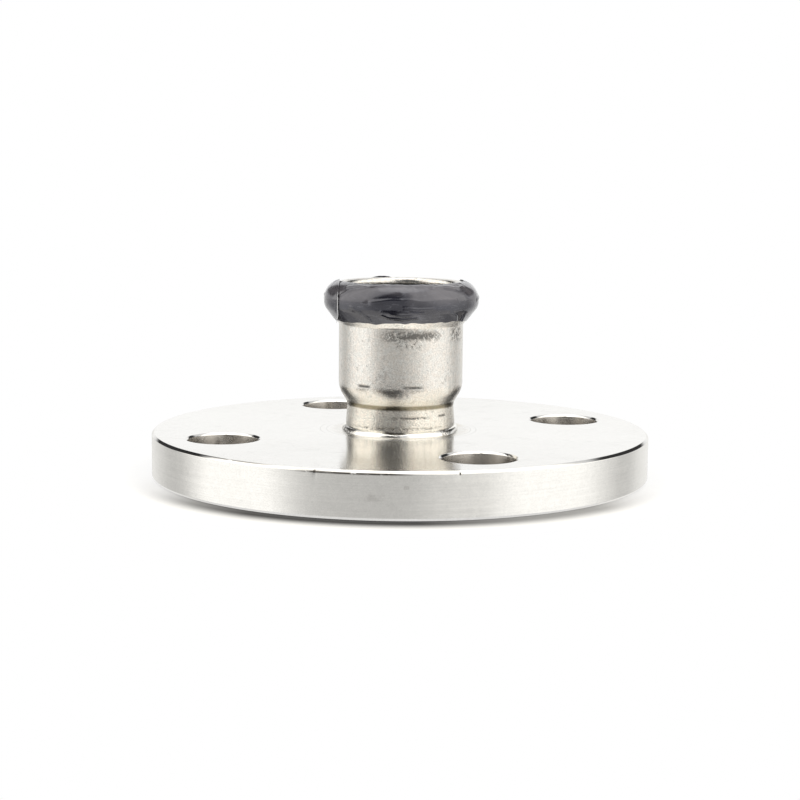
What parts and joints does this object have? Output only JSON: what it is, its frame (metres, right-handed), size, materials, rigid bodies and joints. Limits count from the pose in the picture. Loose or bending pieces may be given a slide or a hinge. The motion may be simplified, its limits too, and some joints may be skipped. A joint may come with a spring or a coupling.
{
  "type": "press fitting flange adapter",
  "caption": "Round stainless flange with bolt holes and a welded press socket, with a seal ring inside its bead and a shrunk film over it.",
  "frame": {"origin": "centre of the flange's flat sealing face", "axes": "+Z along the axis, from the sealing face to the mouth of the press socket; the bolt holes lie at 45 degrees to X and Y"},
  "size_m": [0.1, 0.1, 0.0392],
  "materials": {
    "turned_steel": "fine turned, bright",
    "pickled_steel": "pickled, fine grained satin",
    "weld_metal": "weld, rippled",
    "seal_rubber": "matt",
    "film": "glossy, wrinkled"
  },
  "bodies": {
    "root": {"flange": "turned_steel", "formed_tube": "pickled_steel", "outer_weld": "weld_metal", "inner_weld": "weld_metal", "seal_ring": "seal_rubber", "press_film": "film"}
  },
  "joints": []
}
